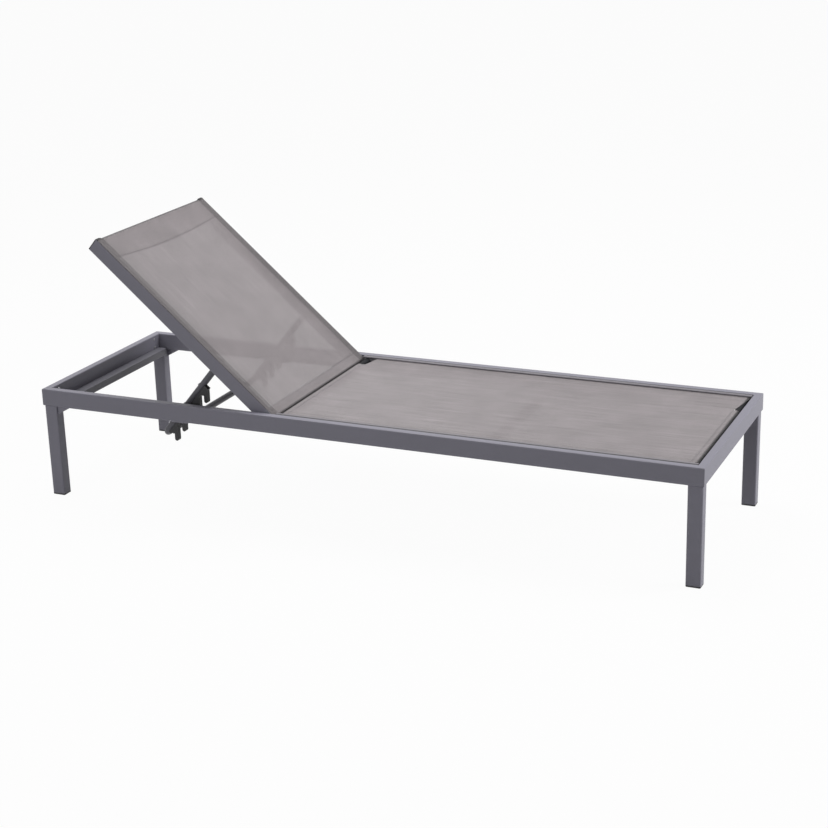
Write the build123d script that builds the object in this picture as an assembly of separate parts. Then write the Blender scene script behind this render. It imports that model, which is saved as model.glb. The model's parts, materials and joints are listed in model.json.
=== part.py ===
from build123d import *
import os
from math import cos, radians, sin, sqrt

# Reclining sun lounger: aluminium frame, sling seat, sling backrest on a notched U-shaped prop.
# Millimetres. Origin on the floor under the middle of the frame, +X to the foot end,
# +Y to the left of a person lying on it, +Z up. The backrest is drawn half raised.

# ---- driving dimensions ---------------------------------------------------------------
LENGTH = 1950.0            # over the head and foot rails
WIDTH = 630.0              # over the side rails
HEIGHT = 325.0             # floor to the top of the rails

RAIL_DEPTH = 50.0          # main rail, upright
RAIL_WIDTH = 22.0
RAIL_WALL = 1.8
RAIL_RADIUS = 3.0

LEG_ALONG = 40.0           # leg tube, along X
LEG_ACROSS = 34.0
LEG_WALL = 2.0
LEG_RADIUS = 4.0
LEG_INSET = 3.0            # from the outer faces of the rails
LEG_PLATE = 4.0            # plate that closes the top of a leg
LEG_TOP_EDGE = 1.2         # chamfer round that plate, a thin line under the rail
GUSSET_ALONG = 46.0        # web between a head leg and its side rail
GUSSET_DOWN = 25.0
GUSSET_PLATE = 4.0
FOOT_THICKNESS = 5.0       # plastic foot under a leg
FOOT_PLUG = 22.0           # part of the foot inside the leg
FOOT_WALL = 2.5
FOOT_ROUND = 1.8

KEY_REACH = 62.0           # arm of a corner key, from the outer corner
KEY_BOLT_SIDE = 30.0       # leg bolt in the side rail, from the outer corner
KEY_BOLT_END = 28.0        # leg bolt in the head or foot rail
KEY_SCREW_REACH = 52.0
KEY_SCREW_HEIGHTS = (12.0, 38.0)   # above the underside of the rail
LEG_BOLT = 6.0
LEG_BOLT_LENGTH = 26.0
LEG_BOLT_IN = 1.5          # bolts stand inside the middle line of the rails
LEG_BOLT_HEAD = 11.4       # over the corners of the hexagon
LEG_BOLT_HEAD_HEIGHT = 4.0

SCREW = 4.0                # small button-head screws
SCREW_HEAD = 8.0
SCREW_HEAD_HEIGHT = 1.8
SCREW_HEAD_ROUND = 1.1
SCREW_SOCKET = 2.7
SCREW_LENGTH = 12.0

REST_BAR_ALONG = 32.0      # bar that carries the flat backrest at the head end
REST_BAR_DEPTH = 22.0
REST_BAR_WALL = 1.8

SEAT_RAIL_WIDTH = 15.0     # sling rail beside the main rail
SEAT_RAIL_DEPTH = 30.0
SEAT_RAIL_DROP = 0.6       # below the top of the main rail
SEAT_RAIL_SCREWS = 4
SEAT_SCREW_DROP = 19.5     # below the top of the seat rail
SEAT_SCREW_GRIP = 8.0      # length of a screw past the seat rail
SLING_RAIL_WALL = 1.6
CHANNEL_DIAMETER = 8.0     # round channel that holds the edge of a sling
CHANNEL_SLOT = 2.4
CHANNEL_WALL = 1.5
SPLINE_DIAMETER = 5.4

BAR_DIAMETER = 20.0        # round cross bars at the ends of the slings
BAR_WALL = 1.5
SLING_THICKNESS = 1.5
SLING_EDGE_IN = 3.4        # sling edge inside the face of its rail
SLING_NOTCH = 12.0         # the sleeves of the seat stop short of its rails
SLING_NOTCH_LONG = 14.0    # from the middle of the bar
BACK_SLEEVE_GAP = 2.0      # the sleeves of the backrest stop short of its rails

SEAT_BRACE_AT = 600.0      # from the foot end
SEAT_BRACE_ALONG = 30.0
SEAT_BRACE_DEPTH = 14.0

BACK_RAIL_WIDTH = 20.0
BACK_RAIL_DEPTH = 40.0
BACK_RAIL_RADIUS = 3.0
BACK_GAP = 2.0             # between the main rail and the backrest rail
BACK_END_GAP = 6.0         # between the head rail and the flat backrest
BACK_CAP = 3.0             # end cap of a backrest rail
BACK_CAP_ROUND = 1.5
BACK_CAP_PLUG = 12.0
HINGE_FROM_HEAD = 724.0
HINGE_DROP = 21.0          # hinge axis below the top of the rails
HINGE_PIN = 10.0
HINGE_PIN_HEAD = 20.0
HINGE_PIN_HEAD_HEIGHT = 4.0
HINGE_PIN_SHORT = 1.0      # end of the pin, above the bottom of its bore
HINGE_BUSH_WALL = 2.0
HINGE_BUSH_FLANGE = 2.0
HINGE_BORE_FLOOR = 2.0     # solid wall behind the bore
HINGE_BLOCK_PAST = 4.0     # solid end of the backrest rail, past its rounded part
HINGE_PLUG = 40.0
BOTTOM_BAR_PAST = 2.0      # lower sling bar, past the hinge axis
SEAT_START_GAP = 2.0       # between the backrest and the seat

REST_ANGLE = 41.0          # backrest above the horizontal, as drawn
PROP_ANGLE = 50.0          # prop below the horizontal, as drawn
PROP_PIVOT_UP = 212.0      # prop pivot, from the hinge axis along the rail
PROP_PIVOT_DROP = 5.0      # and below the middle of the rail
PROP_LENGTH = 295.0        # pivot to the middle of the cross bar
PROP_DIAMETER = 19.0
PROP_WALL = 1.6
PROP_BEND = 24.0
PROP_SPACER = 2.4          # between the backrest rail and the prop
PROP_END = 12.0            # prop tube past its pivot
PROP_CAP = 2.0
PROP_CAP_ROUND = 1.4
PROP_CAP_PLUG = 6.0
PIVOT_BOLT = 8.0
PIVOT_BOLT_HEAD = 12.8
PIVOT_BOLT_HEAD_HEIGHT = 4.0
PIVOT_BOLT_HEAD_ROUND = 2.4
PROP_SPACER_DIAMETER = 16.0

RACK_TEETH = 5
RACK_PITCH = 40.4          # along the arm
RACK_THICKNESS = 14.0
RACK_LEAD = 35.0           # rack above its first slot, along the arm
RACK_SADDLE = 7.0          # the rack reaches this near to the axis of the arm
TOOTH_DROP = 14.5          # tip of a tooth below the middle of its slot
RACK_SCREWS = 3

CATCH_FROM_HEAD = 452.5
CATCH_SLOT = 2             # slot that the catch pin stands in, as drawn
CATCH_PIN = 13.0
CATCH_PIN_EDGE = 1.0
CATCH_CLEAR = 1.5          # under the flat backrest
CATCH_PLATE = 3.0
CATCH_FLANGE = 52.0
CATCH_WEB = 22.0
CATCH_RIVET = 6.0
CATCH_SCREWS = 38.0        # between the two screws of a bracket

FIT = 0.3                  # clearance round plugs, keys and screws
EDGE = 1.5                 # chamfer on leading ends
PLUG_EDGE = 0.7            # chamfer on the long edges of plugs and keys
RUNNING_FIT = 0.05         # hinge pins in their bushes, on the radius
CATCH_GAP = 0.6            # catch pin short of the prop, sideways

# ---- places worked out from the dimensions --------------------------------------------
HEAD_X = -LENGTH / 2
FOOT_X = LENGTH / 2
HALF_WIDTH = WIDTH / 2
RAIL_BOTTOM = HEIGHT - RAIL_DEPTH
RAIL_MIDDLE = HEIGHT - RAIL_DEPTH / 2
BAR_RADIUS = BAR_DIAMETER / 2
SLEEVE_RADIUS = BAR_RADIUS + FIT + SLING_THICKNESS

HINGE_X = HEAD_X + HINGE_FROM_HEAD
HINGE_Z = HEIGHT - HINGE_DROP
BACK_RAIL_OUT = RAIL_WIDTH + BACK_GAP              # outer face, from the outside of the frame
BACK_RAIL_IN = BACK_RAIL_OUT + BACK_RAIL_WIDTH
BACK_LENGTH = HINGE_FROM_HEAD - RAIL_WIDTH - BACK_END_GAP
BACK_TOP = BACK_RAIL_DEPTH / 2
HINGE_BLOCK_LENGTH = BACK_RAIL_DEPTH / 2 + HINGE_BLOCK_PAST
CHANNEL_DROP = CHANNEL_WALL + CHANNEL_DIAMETER / 2

SLING_DROP = CHANNEL_DROP - CHANNEL_SLOT / 2       # top of the seat sling, below the top of its rail
SPLINE_SHIFT = (CHANNEL_DIAMETER - SPLINE_DIAMETER) / 2 - FIT   # from the middle of its channel
BACK_SLING_TOP = BACK_TOP + FIT + SLING_THICKNESS  # the backrest sling lies over its rails
BACK_BAR_UP = BACK_SLING_TOP - SLEEVE_RADIUS
TOP_BAR_AT = BACK_LENGTH - SLEEVE_RADIUS

BOTTOM_BAR_SWEEP = sqrt(BOTTOM_BAR_PAST ** 2 + BACK_BAR_UP ** 2) + SLEEVE_RADIUS
SEAT_BAR_X = HINGE_X + BOTTOM_BAR_SWEEP + SEAT_START_GAP + SLEEVE_RADIUS
SEAT_RAIL_START = HINGE_X + BACK_RAIL_DEPTH / 2 + SEAT_START_GAP
SEAT_RAIL_END = FOOT_X - RAIL_WIDTH - SEAT_START_GAP
FOOT_BAR_X = FOOT_X - RAIL_WIDTH - 2 * SEAT_START_GAP - SLEEVE_RADIUS
SEAT_RAIL_TOP = HEIGHT - SEAT_RAIL_DROP
SEAT_RAIL_IN = RAIL_WIDTH + SEAT_RAIL_WIDTH
SEAT_BAR_Z = SEAT_RAIL_TOP - SLING_DROP - SLEEVE_RADIUS

PROP_RADIUS = PROP_DIAMETER / 2
PROP_SIDE = BACK_RAIL_IN + PROP_SPACER + PROP_RADIUS    # arm axis, from the outside of the frame
REST = radians(REST_ANGLE)
SWING = radians(PROP_ANGLE)
PIVOT_X = HINGE_X - PROP_PIVOT_UP * cos(REST) - PROP_PIVOT_DROP * sin(REST)
PIVOT_Z = HINGE_Z + PROP_PIVOT_UP * sin(REST) - PROP_PIVOT_DROP * cos(REST)

# The catch pin lies just under the flat backrest rails. Its place seen from the prop,
# along the arm and out from it, sets the slots of the rack.
CATCH_X = HEAD_X + CATCH_FROM_HEAD
CATCH_Z = HINGE_Z - BACK_RAIL_DEPTH / 2 - CATCH_CLEAR - CATCH_PIN / 2
SLOT_WIDTH = CATCH_PIN + 2 * CATCH_GAP
SLOT_STEP = RACK_PITCH * cos(SWING)
TOOTH_WIDTH = SLOT_STEP - SLOT_WIDTH
PROP_NEAR = PROP_SIDE - PROP_RADIUS                # outer side of the arm
RACK_SIDE = PROP_NEAR + RACK_THICKNESS / 2         # the rack is flush with that side

BACK = Location((HINGE_X, 0, HINGE_Z), (0, REST_ANGLE, 0))
PROP = Location((PIVOT_X, 0, PIVOT_Z), (0, -PROP_ANGLE, 0))

parts = {}


def keep(name, shape, place=None):
    """Store one named sub-part, moved to its place."""
    parts[name] = shape if place is None else place * shape


def keep_pair(name, shape, place=None):
    """Store a left sub-part and its mirror image on the right."""
    keep(name + "_left", shape, place)
    keep(name + "_right", mirror(shape, about=Plane.XZ), place)


def both_sides(shapes):
    return shapes + [mirror(shape, about=Plane.XZ) for shape in shapes]


def group(solids):
    return Compound(children=solids)


def rod(radius, start, end):
    """Round rod between two points."""
    a, b = Vector(*start), Vector(*end)
    return extrude(Plane(origin=a, z_dir=b - a) * Circle(radius), amount=(b - a).length)


def tube(radius, wall, start, end):
    return rod(radius, start, end) - rod(radius - wall, start, end)


def block(x0, x1, y0, y1, z0, z1):
    return Pos((x0 + x1) / 2, (y0 + y1) / 2, (z0 + z1) / 2) * Box(x1 - x0, y1 - y0, z1 - z0)


def hollow_section(width, height, wall, radius):
    return RectangleRounded(width, height, radius) - RectangleRounded(
        width - 2 * wall, height - 2 * wall, max(radius - wall, 0.5))


def button_screw(seat, direction, length=SCREW_LENGTH):
    """Screw with its domed head on the outside of the seat point."""
    head = Cylinder(SCREW_HEAD / 2, SCREW_HEAD_HEIGHT, align=(Align.CENTER, Align.CENTER, Align.MIN))
    head = fillet(head.edges().sort_by(Axis.Z)[-1], SCREW_HEAD_ROUND)
    head -= Pos(0, 0, SCREW_HEAD_HEIGHT) * Cylinder(SCREW_SOCKET / 2, SCREW_HEAD_HEIGHT)
    shank = Cylinder(SCREW / 2, length, align=(Align.CENTER, Align.CENTER, Align.MAX))
    return Plane(origin=seat, z_dir=direction) * (head + shank)


# ---- main frame -----------------------------------------------------------------------
def main_rail(length, axis):
    """Mitred hollow rail along X or Y, centred, with its top at the frame height."""
    section = hollow_section(RAIL_WIDTH, RAIL_DEPTH, RAIL_WALL, RAIL_RADIUS)
    plane = Plane.YZ if axis == "x" else Plane.XZ
    rail = Pos(0, 0, RAIL_MIDDLE) * extrude(plane * section, amount=length / 2, both=True)
    half, short = length / 2, length / 2 - RAIL_WIDTH
    out, inner = RAIL_WIDTH / 2, -RAIL_WIDTH / 2
    plan = Polygon((-half, out), (-short, inner), (short, inner), (half, out), align=None)
    if axis == "y":
        plan = Rot(0, 0, 90) * plan
    return rail & Pos(0, 0, RAIL_BOTTOM - 1) * extrude(plan, amount=RAIL_DEPTH + 2)


def corners(shape):
    """Copies of a head-left piece at the four corners."""
    left = [shape, mirror(shape, about=Plane.YZ)]
    return dict(zip(("head_left", "foot_left", "head_right", "foot_right"), both_sides(left)))


def corner_point(along, across, z):
    """Point given from the outer head-left corner."""
    return (HEAD_X + along, HALF_WIDTH - across, z)


def leg_bolt_places():
    line = RAIL_WIDTH / 2 + LEG_BOLT_IN
    return [(KEY_BOLT_SIDE, line), (line, KEY_BOLT_END)]


def corner_key():
    """L-shaped key inside two mitred rails, with its bolt and screw holes."""
    start = RAIL_WALL + FIT
    end = RAIL_WIDTH - RAIL_WALL - FIT
    low, high = RAIL_BOTTOM + RAIL_WALL + FIT, HEIGHT - RAIL_WALL - FIT
    plan = [(start, start), (KEY_REACH, start), (KEY_REACH, end), (end, end),
            (end, KEY_REACH), (start, KEY_REACH)]
    face = Polygon(*[corner_point(a, b, 0)[:2] for a, b in plan], align=None)
    key = Pos(0, 0, low) * extrude(face, amount=high - low, dir=(0, 0, 1))
    key = chamfer(key.edges().filter_by(Axis.Z).sort_by_distance(corner_point(0, 0, RAIL_MIDDLE))[0], EDGE)
    flat = key.faces().filter_by(Axis.Z)
    key = chamfer(flat[0].edges() + flat[1].edges(), PLUG_EDGE)
    for along, across in leg_bolt_places():
        key -= rod(LEG_BOLT / 2 + FIT, corner_point(along, across, low - 1),
                   corner_point(along, across, RAIL_BOTTOM + LEG_BOLT_LENGTH))
    for height in KEY_SCREW_HEIGHTS:
        key -= rod(SCREW / 2 + FIT, corner_point(RAIL_WIDTH, KEY_SCREW_REACH, RAIL_BOTTOM + height),
                   corner_point(RAIL_WIDTH - SCREW_LENGTH - 1, KEY_SCREW_REACH, RAIL_BOTTOM + height))
    return key


def leg_bolt(along, across):
    head_bottom = RAIL_BOTTOM - LEG_PLATE
    head = Pos(*corner_point(along, across, head_bottom)) * extrude(
        RegularPolygon(LEG_BOLT_HEAD / 2, 6), amount=-LEG_BOLT_HEAD_HEIGHT)
    return head + rod(LEG_BOLT / 2, corner_point(along, across, head_bottom),
                      corner_point(along, across, RAIL_BOTTOM + LEG_BOLT_LENGTH - 1))


def leg_centre():
    return LEG_INSET + LEG_ALONG / 2, LEG_INSET + LEG_ACROSS / 2


def leg():
    along, across = leg_centre()
    place = Pos(*corner_point(along, across, FOOT_THICKNESS))
    height = RAIL_BOTTOM - FOOT_THICKNESS
    shape = place * extrude(hollow_section(LEG_ALONG, LEG_ACROSS, LEG_WALL, LEG_RADIUS), amount=height)
    plate = RectangleRounded(LEG_ALONG, LEG_ACROSS, LEG_RADIUS)
    shape += Pos(0, 0, height - LEG_PLATE) * place * extrude(plate, amount=LEG_PLATE)
    shape = chamfer(shape.faces().sort_by(Axis.Z)[-1].edges(), LEG_TOP_EDGE)
    for along, across in leg_bolt_places():
        shape -= rod(LEG_BOLT / 2 + FIT, corner_point(along, across, RAIL_BOTTOM - LEG_PLATE - 1),
                     corner_point(along, across, RAIL_BOTTOM + 1))
    return shape


def head_legs():
    """The two legs at the head end, which have a gusset."""
    return {name: shape for name, shape in corners(leg() + gusset()).items() if name.startswith("head")}


def gusset():
    """Three-cornered web under the side rail, on the leg's inner side."""
    start = HEAD_X + LEG_INSET + LEG_ALONG
    web = Polygon((start, RAIL_BOTTOM), (start, RAIL_BOTTOM - GUSSET_DOWN),
                  (start + GUSSET_ALONG, RAIL_BOTTOM), align=None)
    web = extrude(Plane.XZ * web, amount=GUSSET_PLATE / 2, both=True)
    return Pos(0, HALF_WIDTH - RAIL_WIDTH / 2, 0) * web


def foot():
    along, across = leg_centre()
    pad = extrude(RectangleRounded(LEG_ALONG, LEG_ACROSS, LEG_RADIUS), amount=FOOT_THICKNESS)
    pad = fillet(pad.faces().sort_by(Axis.Z)[0].edges(), FOOT_ROUND)
    inside = 2 * (LEG_WALL + FIT)
    plug = extrude(hollow_section(LEG_ALONG - inside, LEG_ACROSS - inside, FOOT_WALL,
                                  LEG_RADIUS - LEG_WALL), amount=FOOT_PLUG)
    return Pos(*corner_point(along, across, 0)) * (pad + Pos(0, 0, FOOT_THICKNESS) * plug)


def build_frame():
    side = Pos(0, HALF_WIDTH - RAIL_WIDTH / 2, 0) * main_rail(LENGTH, "x")
    end = Pos(HEAD_X + RAIL_WIDTH / 2, 0, 0) * main_rail(WIDTH, "y")
    for along, across in leg_bolt_places():
        hole = rod(LEG_BOLT / 2 + FIT, corner_point(along, across, RAIL_BOTTOM - 1),
                   corner_point(along, across, RAIL_BOTTOM + RAIL_WALL + 1))
        for drilled in corners(hole).values():
            side -= drilled
            end -= drilled
    screws = []
    for height in KEY_SCREW_HEIGHTS:
        seat = corner_point(RAIL_WIDTH, KEY_SCREW_REACH, RAIL_BOTTOM + height)
        inner = corner_point(RAIL_WIDTH - RAIL_WALL - 1, KEY_SCREW_REACH, RAIL_BOTTOM + height)
        for drilled in both_sides([rod(SCREW / 2 + FIT, seat, inner)]):
            end -= drilled
        screws += corners(button_screw(seat, (1, 0, 0))).values()
    side = side - catch_screw_holes() - seat_screw_holes() - hinge_hole()
    keep_pair("side_rail", side)
    keep("foot_rail", mirror(end, about=Plane.YZ))
    keep("head_rail", end)
    keep("corner_key_screws", group(screws))
    for name, shape in corners(corner_key()).items():
        keep("corner_key_" + name, shape)
    for name, shape in {**corners(leg()), **head_legs()}.items():
        keep("leg_" + name, shape)
    for name, shape in corners(foot()).items():
        keep("foot_cap_" + name, shape)
    bolts = []
    for along, across in leg_bolt_places():
        bolts += corners(leg_bolt(along, across)).values()
    keep("leg_bolts", group(bolts))


# ---- head rest bar --------------------------------------------------------------------
def rest_bar_top():
    return HINGE_Z - BACK_RAIL_DEPTH / 2 - FIT


def build_rest_bar():
    """Flat tube welded between the head legs, against the head rail."""
    section = hollow_section(REST_BAR_ALONG, REST_BAR_DEPTH, REST_BAR_WALL, RAIL_RADIUS)
    half = HALF_WIDTH - LEG_INSET - LEG_ACROSS
    middle_x = HEAD_X + RAIL_WIDTH + REST_BAR_ALONG / 2
    keep("rest_bar", Pos(middle_x, 0, rest_bar_top() - REST_BAR_DEPTH / 2) * extrude(
        Plane.XZ * section, amount=half, both=True))


# ---- sling rails ----------------------------------------------------------------------
def channel_place(width):
    """Middle of a sling channel, sideways from the middle of its rail."""
    return width / 2 - CHANNEL_WALL - CHANNEL_DIAMETER / 2


def sling_rail_section(width, depth, radius, opens_up):
    """Hollow rail section with a round channel for the edge of a sling.

    Drawn with the inner face at -width / 2 and the top at +depth / 2. The channel opens
    upwards near the outer face, or else inwards near the inner face.
    """
    side = channel_place(width)
    channel_y = depth / 2 - CHANNEL_DROP
    shelf = channel_y - CHANNEL_DIAMETER / 2 - SLING_RAIL_WALL
    cavity_low = -depth / 2 + SLING_RAIL_WALL
    cavity = Pos(0, (shelf + cavity_low) / 2) * RectangleRounded(
        width - 2 * SLING_RAIL_WALL, shelf - cavity_low, radius - SLING_RAIL_WALL)
    channel = Circle(CHANNEL_DIAMETER / 2)
    if opens_up:
        channel += Pos(0, CHANNEL_DROP) * Rectangle(CHANNEL_SLOT, 2 * CHANNEL_DROP)
        channel = Pos(side, channel_y) * channel
    else:
        channel += Pos(-CHANNEL_DROP, 0) * Rectangle(2 * CHANNEL_DROP, CHANNEL_SLOT)
        channel = Pos(-side, channel_y) * channel
    return RectangleRounded(width, depth, radius) - cavity - channel


def sling(bars, sleeve_half, flaps, half):
    """Flat sling with a sleeve round the bar at each end, its top at z = 0.

    It runs along X between the middles of the bars. Between the two ends of the flaps it
    reaches out to half and -half, past the sleeves.
    """
    fabric = block(*bars, -sleeve_half, sleeve_half, -SLING_THICKNESS, 0)
    fabric += block(*flaps, sleeve_half, half, -SLING_THICKNESS, 0)
    fabric += block(*flaps, -half, -sleeve_half, -SLING_THICKNESS, 0)
    ring = Circle(SLEEVE_RADIUS) - Circle(SLEEVE_RADIUS - SLING_THICKNESS)
    for x in bars:
        fabric += Pos(x, 0, -SLEEVE_RADIUS) * extrude(Plane.XZ * ring, amount=sleeve_half, both=True)
    return fabric


# ---- seat -----------------------------------------------------------------------------
def seat_screw_xs():
    span = (SEAT_RAIL_END - SEAT_RAIL_START) / SEAT_RAIL_SCREWS
    return [SEAT_RAIL_START + span * (i + 0.5) for i in range(SEAT_RAIL_SCREWS)]


def seat_screw_z():
    return SEAT_RAIL_TOP - SEAT_SCREW_DROP


def seat_screw_holes():
    y_in = HALF_WIDTH - RAIL_WIDTH
    z = seat_screw_z()
    return Part() + [rod(SCREW / 2 + FIT, (x, y_in - 1, z), (x, y_in + RAIL_WALL + 1, z))
                     for x in seat_screw_xs()]


def build_seat():
    section = sling_rail_section(SEAT_RAIL_WIDTH, SEAT_RAIL_DEPTH, RAIL_RADIUS, opens_up=False)
    length = SEAT_RAIL_END - SEAT_RAIL_START
    middle = HALF_WIDTH - RAIL_WIDTH - SEAT_RAIL_WIDTH / 2
    rail = extrude(Plane.YZ * section, amount=length)
    rail = Pos(SEAT_RAIL_START, middle, SEAT_RAIL_TOP - SEAT_RAIL_DEPTH / 2) * rail
    face = HALF_WIDTH - SEAT_RAIL_IN
    screws = []
    for x in seat_screw_xs():
        rail -= rod(SCREW / 2 + FIT, (x, face - 1, seat_screw_z()),
                    (x, HALF_WIDTH - RAIL_WIDTH + 1, seat_screw_z()))
        screws.append(button_screw((x, face, seat_screw_z()), (0, -1, 0), SEAT_RAIL_WIDTH + SEAT_SCREW_GRIP))
    keep_pair("seat_rail", rail)
    keep("seat_rail_screws", group(both_sides(screws)))

    for name, x in (("seat_hinge_bar", SEAT_BAR_X), ("seat_foot_bar", FOOT_BAR_X)):
        keep(name, tube(BAR_RADIUS, BAR_WALL, (x, -face, SEAT_BAR_Z), (x, face, SEAT_BAR_Z)))

    brace = extrude(Plane.XZ * hollow_section(SEAT_BRACE_ALONG, SEAT_BRACE_DEPTH, BAR_WALL, RAIL_RADIUS),
                    amount=HALF_WIDTH - RAIL_WIDTH, both=True)
    brace_z = SEAT_RAIL_TOP - SEAT_RAIL_DEPTH - SEAT_BRACE_DEPTH / 2
    keep("seat_brace", Pos(FOOT_X - SEAT_BRACE_AT, 0, brace_z) * brace)

    fabric = sling((SEAT_BAR_X, FOOT_BAR_X), face - SLING_NOTCH,
                   (SEAT_BAR_X + SLING_NOTCH_LONG, FOOT_BAR_X - SLING_NOTCH_LONG), face + SLING_EDGE_IN)
    keep("seat_sling", Pos(0, 0, SEAT_RAIL_TOP - SLING_DROP) * fabric)

    spline_y = middle - channel_place(SEAT_RAIL_WIDTH) + SPLINE_SHIFT
    spline_z = SEAT_RAIL_TOP - CHANNEL_DROP
    keep_pair("seat_spline", rod(SPLINE_DIAMETER / 2, (SEAT_BAR_X + SLING_NOTCH_LONG, spline_y, spline_z),
                                 (FOOT_BAR_X - SLING_NOTCH_LONG, spline_y, spline_z)))


# ---- backrest, drawn flat with the hinge axis at the origin ---------------------------
def hinge_hole():
    y_in = HALF_WIDTH - RAIL_WIDTH
    return rod(HINGE_PIN / 2 + FIT, (HINGE_X, y_in - 1, HINGE_Z), (HINGE_X, y_in + RAIL_WALL + 1, HINGE_Z))


def hinge_block():
    """Cast end of a backrest rail: rounded about the hinge, with a plug and a bar spigot."""
    y_out, y_in = HALF_WIDTH - BACK_RAIL_OUT, HALF_WIDTH - BACK_RAIL_IN
    outline = Circle(BACK_RAIL_DEPTH / 2) + Pos(-HINGE_BLOCK_LENGTH / 2, 0) * Rectangle(
        HINGE_BLOCK_LENGTH, BACK_RAIL_DEPTH)
    body = Pos(0, y_out, 0) * extrude(Plane.XZ * outline, amount=BACK_RAIL_WIDTH)
    shelf = BACK_TOP - CHANNEL_DROP - CHANNEL_DIAMETER / 2 - SLING_RAIL_WALL
    low = -BACK_RAIL_DEPTH / 2 + SLING_RAIL_WALL
    plug = block(-HINGE_BLOCK_LENGTH - HINGE_PLUG, -HINGE_BLOCK_LENGTH,
                 y_in + SLING_RAIL_WALL + FIT, y_out - SLING_RAIL_WALL - FIT, low + FIT, shelf - FIT)
    plug = chamfer(plug.edges().filter_by(Axis.X), PLUG_EDGE)
    spigot = rod(BAR_RADIUS - BAR_WALL - FIT, (BOTTOM_BAR_PAST, y_in, BACK_BAR_UP),
                 (BOTTOM_BAR_PAST, y_in - BAR_DIAMETER, BACK_BAR_UP))
    bore = rod(HINGE_PIN / 2 + RUNNING_FIT + HINGE_BUSH_WALL, (0, y_out + 1, 0),
               (0, y_in + HINGE_BORE_FLOOR, 0))
    return body + plug + spigot - bore


def hinge_bush():
    """Flanged bush between the hinge pin and its block."""
    y_out, y_in = HALF_WIDTH - BACK_RAIL_OUT, HALF_WIDTH - BACK_RAIL_IN
    outer = HINGE_PIN / 2 + RUNNING_FIT + HINGE_BUSH_WALL
    bush = rod(outer, (0, y_out, 0), (0, y_in + HINGE_BORE_FLOOR, 0))
    bush += rod(outer + HINGE_BUSH_FLANGE, (0, y_out, 0), (0, y_out + BACK_GAP - FIT, 0))
    return bush - rod(HINGE_PIN / 2 + RUNNING_FIT, (0, y_out + BACK_GAP, 0), (0, y_in + 1, 0))


def hinge_pin():
    """Headed pin, fixed in the main rail with its head inside the rail."""
    seat = HALF_WIDTH - RAIL_WIDTH + RAIL_WALL
    end = HALF_WIDTH - BACK_RAIL_IN + HINGE_BORE_FLOOR + HINGE_PIN_SHORT
    pin = rod(HINGE_PIN / 2, (HINGE_X, end, HINGE_Z), (HINGE_X, seat, HINGE_Z))
    return pin + rod(HINGE_PIN_HEAD / 2, (HINGE_X, seat, HINGE_Z),
                     (HINGE_X, seat + HINGE_PIN_HEAD_HEIGHT, HINGE_Z))


def back_cap():
    y_out, y_in = HALF_WIDTH - BACK_RAIL_OUT, HALF_WIDTH - BACK_RAIL_IN
    middle = (y_out + y_in) / 2
    cap = extrude(Plane.YZ * RectangleRounded(BACK_RAIL_WIDTH, BACK_RAIL_DEPTH, BACK_RAIL_RADIUS),
                  amount=-BACK_CAP)
    cap = fillet(cap.faces().sort_by(Axis.X)[0].edges(), BACK_CAP_ROUND)
    shelf = BACK_TOP - CHANNEL_DROP - CHANNEL_DIAMETER / 2 - SLING_RAIL_WALL
    low = -BACK_RAIL_DEPTH / 2 + SLING_RAIL_WALL
    plug = block(0, BACK_CAP_PLUG, y_in + SLING_RAIL_WALL + FIT, y_out - SLING_RAIL_WALL - FIT,
                 low + FIT, shelf - FIT)
    plug = chamfer(plug.edges().filter_by(Axis.X), PLUG_EDGE)
    return Pos(-BACK_LENGTH + BACK_CAP, 0, 0) * (Pos(0, middle, 0) * cap + plug)


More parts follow.
